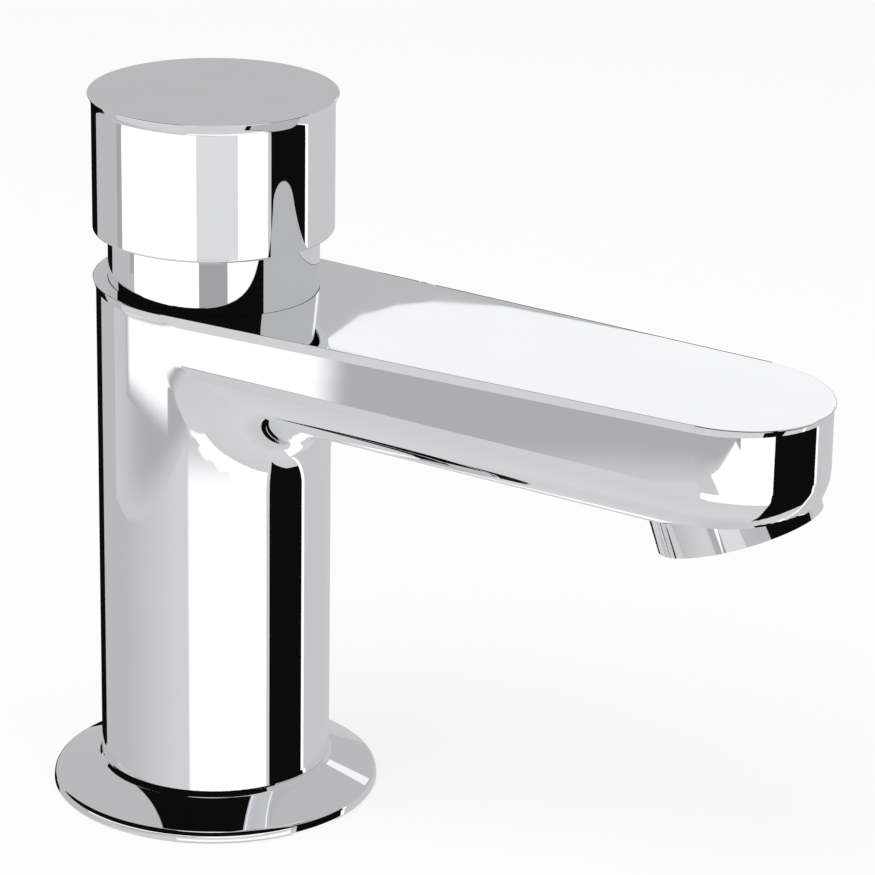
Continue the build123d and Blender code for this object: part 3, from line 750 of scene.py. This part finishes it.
# %% The normals
SKIN_NEARNESS = 0.02
FOOT_REACH = 2.5
SAME_SIDE = 0.3
spots = np.array([spot.co for spot in cast_mesh.vertices]) / MM
lean = slope_of(skin_gap, spots)
lean /= np.maximum(np.linalg.norm(lean, axis=1), TINY)[:, None]
touching = np.abs(skin_gap(spots)) < SKIN_NEARNESS
at_foot = (spots[:, 0] < WALL_END) & (spots[:, 2] < FLANGE_LAND + FOOT_REACH)
on_skin = touching & (on_wall(spots) | at_foot)
kept = np.empty(len(cast_mesh.loops) * 3, np.float32)
cast_mesh.attributes["kept_normal"].data.foreach_get("vector", kept)
kept = kept.reshape(-1, 3)
kept /= np.maximum(np.linalg.norm(kept, axis=1), TINY)[:, None]
for face in cast_mesh.polygons:
    corners = list(face.vertices)
    if on_skin[corners].all() and (lean[corners] @ np.array(face.normal)).min() > SAME_SIDE:
        kept[list(face.loop_indices)] = lean[corners]
cast_mesh.shade_smooth()
cast_mesh.normals_split_custom_set(kept.tolist())
cast_mesh.attributes.remove(cast_mesh.attributes["kept_normal"])
stand_in("cast_body", cast_mesh, "tap_body")

# %% [markdown]
# ## The threaded tail
# The tail carries a half-inch pipe thread, parted by a relief groove. A screw modifier or a real
# helical cut could make it. Here one tooth of the profile is spun with a small climb at every step,
# which keeps the faces even, and a turned core with the bore goes inside.

# %% The tail
THREAD_PITCH = 1.814
THREAD_CREST = 10.48
THREAD_CORE = 9.33
THREAD_STEPS = 48
THREAD_RUN_IN = 0.6
TOOTH_CORNERS = ((THREAD_CORE, 0), (THREAD_CREST, 0.42), (THREAD_CREST, 0.58), (THREAD_CORE, 1))
RELIEF_LOW, RELIEF_HIGH = -45.6, -43.9
TAIL_END = -62.0
TAIL_TOP = 16
TAIL_SHOULDER = 1
TAIL_BORE = 7.0
TAIL_STEPS = 96
CORE_TAPER = 0.05
bm = bmesh.new()
for low, high in ((TAIL_END + THREAD_RUN_IN, RELIEF_LOW), (RELIEF_HIGH, 0.0)):
    tooth = [
        bm.verts.new((radius * MM, 0, (low + share * THREAD_PITCH) * MM)) for radius, share in TOOTH_CORNERS
    ]
    edges = [bm.edges.new(pair) for pair in zip(tooth, tooth[1:])]
    turns = int((high - low) / THREAD_PITCH) - 1
    bmesh.ops.spin(
        bm, geom=tooth + edges, cent=(0, 0, 0), axis=(0, 0, 1), dvec=(0, 0, THREAD_PITCH / THREAD_STEPS * MM),
        angle=math.tau * turns, steps=THREAD_STEPS * turns, use_merge=False,
    )
core = half_section(
    [(TAIL_BORE, TAIL_END, 0.2), (THREAD_CORE, TAIL_END, 0.2), (THREAD_CORE + CORE_TAPER, 0, 0),
     (THREAD_CREST, TAIL_SHOULDER, 0.1), (THREAD_CREST, TAIL_TOP, 0.1), (TAIL_BORE, TAIL_TOP, 0.2)],
    closed=True,
)
spin_round(core, TAIL_STEPS)
bm.from_mesh(to_mesh("tail core", core))
new_piece("threaded_tail", bm, "threaded_shank")

# %% [markdown]
# ## The return spring
# The spring brings the cap up again. Its wire is a circle that is spun with a climb, just like the thread's
# tooth, and its two ends are closed. It goes with the rigid body of its solid and gets a mesh of its own.

# %% The spring
SPRING_RADIUS = 8.3
SPRING_WIRE = 0.6
SPRING_TURNS = 6.5
SPRING_LOW = 71.65
SPRING_HIGH = 90.35
SPRING_STEPS = 40
WIRE_SEGMENTS = 12
bm = bmesh.new()
wire = bmesh.ops.create_circle(bm, segments=WIRE_SEGMENTS, radius=SPRING_WIRE * MM)["verts"]
stand = Matrix.Translation(Vector((SPRING_RADIUS, 0, SPRING_LOW)) * MM) @ Matrix.Rotation(math.pi / 2, 4, "X")
bmesh.ops.transform(bm, matrix=stand, verts=wire)
steps = int(SPRING_STEPS * SPRING_TURNS)
climb = (SPRING_HIGH - SPRING_LOW) / steps * MM
bmesh.ops.spin(
    bm, geom=wire + list(bm.edges), cent=(0, 0, 0), axis=(0, 0, 1), dvec=(0, 0, climb),
    angle=math.tau * SPRING_TURNS, steps=steps, use_merge=False,
)
bmesh.ops.holes_fill(bm, edges=[edge for edge in bm.edges if edge.is_boundary], sides=0)
spring = new_piece("return_spring_coil", bm, "return_spring")
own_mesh(spring)

# %% [markdown]
# ## The floor
# The tap stands on a plain, nearly white ground that keeps only a soft shadow. A white diffuse floor
# alone would go grey towards its edges. So for the camera most of its light is an even glow, and
# the rest is the diffuse part that holds the shadow. It doesn't show in the chrome.

# %% The floor and its paint
FLOOR_SIZE = 6.0
FLOOR_SHADE = 0.965
FLOOR_WHITE = 0.9
GLOW_SHARE = 0.85
bm = bmesh.new()
bmesh.ops.create_grid(bm, x_segments=1, y_segments=1, size=FLOOR_SIZE / 2)
floor_mesh = to_mesh("floor", bm)
floor = placed("floor", floor_mesh)
floor.visible_glossy = False
paint = bpy.data.materials.new("pale floor")
paint.use_nodes = True
tree = paint.node_tree
tree.nodes.clear()
matt = add_node(tree, "ShaderNodeBsdfDiffuse")
matt.inputs["Color"].default_value = (FLOOR_WHITE, FLOOR_WHITE, FLOOR_WHITE, 1)
glow = add_node(tree, "ShaderNodeEmission")
glow.inputs["Color"].default_value = (FLOOR_SHADE, FLOOR_SHADE, FLOOR_SHADE, 1)
ray = add_node(tree, "ShaderNodeLightPath")
seen = add_node(tree, "ShaderNodeMath", operation="MULTIPLY")
seen.inputs[1].default_value = GLOW_SHARE
tree.links.new(ray.outputs["Is Camera Ray"], seen.inputs[0])
mixed = add_node(tree, "ShaderNodeMixShader")
tree.links.new(seen.outputs[0], mixed.inputs["Fac"])
tree.links.new(matt.outputs[0], mixed.inputs[1])
tree.links.new(glow.outputs[0], mixed.inputs[2])
tree.links.new(mixed.outputs[0], add_node(tree, "ShaderNodeOutputMaterial").inputs["Surface"])
floor_mesh.materials.append(paint)
print("floor size in m:", FLOOR_SIZE)

# %% [markdown]
# ## The world
# The camera sees an even white. Reflections see a soft grey sky instead, which a colour ramp lays
# out by height: pale below, a darker band above the horizon, and white straight overhead, which the
# rounded edges catch as a thin bright line.

# %% White for the camera, a soft grey sky in reflections
CAMERA_WHITE = 0.97
COOLNESS = 1.01
SKY_STOPS = ((-62, 0.70), (-35, 0.66), (-15, 0.62), (0, 0.52), (72, 0.52), (79, 1.0))
world = bpy.data.worlds.new("studio")
bpy.context.scene.world = world
world.use_nodes = True
tree = world.node_tree
tree.nodes.clear()
direction = add_node(tree, "ShaderNodeTexCoord").outputs["Generated"]
axes = add_node(tree, "ShaderNodeSeparateXYZ")
tree.links.new(direction, axes.inputs[0])
half = add_node(tree, "ShaderNodeMapRange")
half.inputs["From Min"].default_value = -1
tree.links.new(axes.outputs["Z"], half.inputs["Value"])
sky = add_node(tree, "ShaderNodeValToRGB")
tree.links.new(half.outputs["Result"], sky.inputs["Fac"])
sky.color_ramp.elements[0].color = (0.60, 0.60, 0.61, 1)
sky.color_ramp.elements[1].color = (1, 1, 1, 1)
for elevation, shade in SKY_STOPS:
    stop = sky.color_ramp.elements.new((math.sin(math.radians(elevation)) + 1) / 2)
    stop.color = (shade, shade, shade * COOLNESS, 1)
shown = add_node(tree, "ShaderNodeMix", data_type="RGBA")
ray = add_node(tree, "ShaderNodeLightPath")
tree.links.new(ray.outputs["Is Camera Ray"], shown.inputs["Factor"])
tree.links.new(sky.outputs["Color"], shown.inputs[MIX_FIRST])
shown.inputs[MIX_SECOND].default_value = (CAMERA_WHITE, CAMERA_WHITE, CAMERA_WHITE, 1)
backdrop = add_node(tree, "ShaderNodeBackground")
tree.links.new(shown.outputs[MIX_RESULT], backdrop.inputs["Color"])
tree.links.new(backdrop.outputs[0], add_node(tree, "ShaderNodeOutputWorld").inputs["Surface"])
print("sky stops:", len(sky.color_ramp.elements))

# %% [markdown]
# ## Cards that only reflections show
# Mirror chrome shows its surroundings, so a product studio stands large cards around it: pale ones
# for the broad light areas and black ones for the crisp dark bars that give polished metal its
# shape. Each card here is a curved sheet that keeps its distance from the tap, so that its level
# edge stays level in the reflection. It glows evenly, or fades towards an edge where the photo's
# tone fades. Only glossy rays see it, so the floor and the matt parts are lit by lamps alone.


# %% Directions and fading paint
def heading(degrees):
    """The level direction at an azimuth: 0 is towards -Y and 90 is towards +X."""
    turn = math.radians(degrees)
    return Vector((math.sin(turn), -math.cos(turn), 0))


def fading(tree, fades):
    """A value of 1 that falls to 0 at the left, right, low and high edge, over shares of the card."""
    place = add_node(tree, "ShaderNodeSeparateXYZ")
    tree.links.new(add_node(tree, "ShaderNodeTexCoord").outputs["UV"], place.inputs[0])
    kept = None
    for (axis, start), share in zip((("X", 0), ("X", 1), ("Y", 0), ("Y", 1)), fades):
        if not share:
            continue
        soft = add_node(tree, "ShaderNodeMapRange", interpolation_type="SMOOTHSTEP")
        soft.inputs["From Min"].default_value = start
        soft.inputs["From Max"].default_value = share if start == 0 else 1 - share
        tree.links.new(place.outputs[axis], soft.inputs["Value"])
        if kept is None:
            kept = soft.outputs["Result"]
        else:
            both = add_node(tree, "ShaderNodeMath", operation="MULTIPLY")
            tree.links.new(kept, both.inputs[0])
            tree.links.new(soft.outputs["Result"], both.inputs[1])
            kept = both.outputs[0]
    return kept


def glow_paint(name, shade, beyond, fades):
    """A glow that is even, or softens to the shade beyond towards the edges that fade."""
    paint = bpy.data.materials.new(name)
    paint.use_nodes = True
    tree = paint.node_tree
    tree.nodes.clear()
    light = add_node(tree, "ShaderNodeEmission")
    light.inputs["Color"].default_value = (shade, shade, shade * COOLNESS, 1)
    if any(fades):
        level = add_node(tree, "ShaderNodeMapRange")
        level.inputs["To Min"].default_value = beyond / shade
        tree.links.new(fading(tree, fades), level.inputs["Value"])
        tree.links.new(level.outputs["Result"], light.inputs["Strength"])
    tree.links.new(light.outputs[0], add_node(tree, "ShaderNodeOutputMaterial").inputs["Surface"])
    return paint


# %% A card that only reflections show
CARD_STRIP = 4
NO_FADES = (0, 0, 0, 0)


def reflected_only(name, bm, shade, beyond=None, fades=NO_FADES):
    """A stage object that shows only in mirror surfaces."""
    mesh = to_mesh(name, bm)
    mesh.materials.append(glow_paint(name, shade, beyond, fades))
    sheet = placed(name, mesh)
    sheet.visible_camera = False
    sheet.visible_diffuse = False
    sheet.visible_shadow = False
    sheet.visible_transmission = False
    print(name, "faces:", len(mesh.polygons))


def card(name, left, right, low, high, shade, beyond=None, fades=NO_FADES):
    """A curved upright card. Left and right are azimuth and distance in mm. Low and high are
    heights in mm, each one number or a list of heights evenly spread from left to right."""
    low, high = (np.atleast_1d(edge) for edge in (low, high))
    bm = bmesh.new()
    bm.loops.layers.uv.new("share")
    pieces = max(1, round(abs(right[0] - left[0]) / CARD_STRIP))
    bmesh.ops.create_grid(bm, x_segments=pieces, y_segments=1, size=0.5, calc_uvs=True)
    for spot in bm.verts:
        share, rise = spot.co.x + 0.5, spot.co.y + 0.5
        bottom, top = (np.interp(share, np.linspace(0, 1, len(edge)), edge) for edge in (low, high))
        away = left[1] + (right[1] - left[1]) * share
        spot.co = heading(left[0] + (right[0] - left[0]) * share) * away * MM
        spot.co.z = (bottom + (top - bottom) * rise) * MM
    reflected_only(name, bm, shade, beyond, fades)


def cut_card(name, distance, corners, shade):
    """A card cut to a free shape. Each corner is an azimuth and a height in mm."""
    bm = bmesh.new()
    bm.faces.new([
        bm.verts.new(heading(azimuth) * distance * MM + Vector((0, 0, height * MM)))
        for azimuth, height in corners
    ])
    bmesh.ops.triangulate(bm, faces=bm.faces)
    reflected_only(name, bm, shade)


# %% [markdown]
# ## The cards round the tap
# A card's place follows from the spot where its reflection should lie: the view is mirrored there
# and followed out to the card. The broad walls of the spout look at the cards on the left and in
# front, the pillar's foot looks down at the low ones, and the spout's round tip sweeps from the
# front to the right, so that each of its bars is one card.

# %% Behind and to the left: the dark left edges and the greys of the pillar
BLACK = 0.004
WHITE = 1.12
card("black card back left", (-152, 700), (-114.5, 700), -345, -55, BLACK)
card("grey card left", (-114.5, 520), (0, 520), -300, -8, 0.52, 0.68, (0, 0.7, 0, 0))
card("dim edge of the grey card", (-74, 510), (-66, 510), -60, -8, 0.40)

# %% In front: the white patch under the rim and the two tones along the spout
SPOUT_CARD_LOW = [-128, -133, -132, -126, -115, -103, -88, -67.5]
card("white card left", (-67, 500), (12, 500), -68, 30, WHITE)
card("white patch left", (-66, 495), (-17.2, 495), [-92, -103], -67, WHITE, 0.46, (0.12, 0.03, 0.38, 0))
card("grey card before the spout", (-85, 498), (37, 498), SPOUT_CARD_LOW, -67, 0.45, 0.62, (0.4, 0, 0.3, 0))

# %% In front and to the right: the cap's and the neck's bars, the pillar's white column, the tip
card("pale card front", (12, 500), (50, 500), -49, 30, 0.77)
card("grey band front", (9, 502), (42, 502), -69, -49, 0.38)
card("white card front low", (0, 500), (79, 500), -226, -103, WHITE, 0.64, (0.05, 0, 0, 0.14))
card("white card front right", (41, 503), (79, 503), -88, 30, WHITE)
card("white card before the tip", (9, 504), (60, 504), -96, -62, WHITE)

# %% To the right: the black bar of the pillar and the tip, and the thin white line beside it
card("black card right", (80.0, 166), (122.0, 428), [-85, -205], 100, BLACK)
card("white edge right", (122.0, 430), (126.0, 440), -400, 60, WHITE)
card("pale card back right", (126.0, 500), (205.0, 700), -500, 60, 0.60)

# %% Behind: the line along the spout's lower edge, and the top face's white with the grey by the neck
HIGH_CARD_CORNERS = [
    (-157.5, 382), (-158.4, 371), (-159.4, 365), (-160.5, 361.5), (-162.5, 359), (-182, 330),
    (-182, 402), (-157.5, 402),
]
card("white card low behind", (120, 500), (215, 500), -1000, -520, WHITE)
cut_card("white card high behind", 700, HIGH_CARD_CORNERS, 0.98)

# %% [markdown]
# ## The dark tent over the camera's side
# Surfaces that look up towards the camera's side reflect the dark room behind the lights. That gives
# the flange its black crescent. An arc spun through half a turn makes the tent, like the slice of a
# dome.

# %% The tent
TENT_RADIUS = 2500
TENT_LOW, TENT_HIGH = 4, 77
TENT_LEFT, TENT_RIGHT = -100, 83
TENT_ROWS, TENT_COLUMNS = 12, 40
bm = bmesh.new()
rises = [math.radians(TENT_LOW + (TENT_HIGH - TENT_LOW) * row / TENT_ROWS) for row in range(TENT_ROWS + 1)]
spots = [
    bm.verts.new((heading(TENT_LEFT) * math.cos(rise) + Vector((0, 0, math.sin(rise)))) * TENT_RADIUS * MM)
    for rise in rises
]
edges = [bm.edges.new(pair) for pair in zip(spots, spots[1:])]
bmesh.ops.spin(
    bm, geom=spots + edges, cent=(0, 0, 0), axis=(0, 0, 1), angle=math.radians(TENT_RIGHT - TENT_LEFT),
    steps=TENT_COLUMNS, use_merge=False,
)
reflected_only("dark tent", bm, BLACK)

# %% [markdown]
# ## Soft lamps
# Chrome is lit by what it reflects, but the floor's shadow and the matt parts need real light. Two
# large square lamps give it softly, and stay out of the reflections, where they would show as
# squares.


# %% The lamps
def soft_lamp(name, azimuth, elevation, distance, size, power):
    """A large square lamp aimed at the tap. Distance and size are in metres, the power in watts."""
    data = bpy.data.lights.new(name, "AREA")
    data.size = size
    data.energy = power
    lamp = placed(name, data)
    rise = math.radians(elevation)
    away = heading(azimuth) * math.cos(rise) + Vector((0, 0, math.sin(rise)))
    lamp.location = away * distance
    lamp.rotation_mode = "QUATERNION"
    lamp.rotation_quaternion = away.to_track_quat("Z", "Y")
    lamp.visible_glossy = False
    print(name, "power:", power)


soft_lamp("key lamp", -25, 60, 1.4, 1.2, 16)
soft_lamp("fill lamp", 75, 40, 1.6, 1.4, 8)

# %% [markdown]
# ## The camera
# The camera's place was fitted to the photo's edges together with the tap's proportions. It is
# built from its azimuth, its height over the horizon, a slight roll and the spot that it aims at.

# %% The camera's place and lens
CAMERA_AZIMUTH = 24.627
CAMERA_ELEVATION = 20.271
CAMERA_ROLL = 0.911
CAMERA_DISTANCE = 758.37 * MM
AIM_ACROSS = 40.27 * MM
AIM_HEIGHT = 67.54 * MM
LENS = 172.7
SENSOR_WIDTH = 36
NEAREST, FURTHEST = 0.01, 50
side = Vector((math.cos(math.radians(CAMERA_AZIMUTH)), math.sin(math.radians(CAMERA_AZIMUTH)), 0))
rise = math.radians(CAMERA_ELEVATION)
back = heading(CAMERA_AZIMUTH) * math.cos(rise) + Vector((0, 0, math.sin(rise)))
upward = back.cross(side)
roll = math.radians(CAMERA_ROLL)
across = math.cos(roll) * side + math.sin(roll) * upward
along = math.cos(roll) * upward - math.sin(roll) * side
lens = bpy.data.cameras.new("camera")
lens.lens = LENS
lens.sensor_width = SENSOR_WIDTH
lens.clip_start = NEAREST
lens.clip_end = FURTHEST
camera = placed("camera", lens)
spot = side * AIM_ACROSS + Vector((0, 0, AIM_HEIGHT)) + back * CAMERA_DISTANCE
camera.matrix_world = Matrix.Translation(spot) @ Matrix((across, along, back)).transposed().to_4x4()
bpy.context.scene.camera = camera
bpy.context.scene.view_settings.view_transform = "Standard"
print("camera in mm:", [round(value / MM, 1) for value in spot])
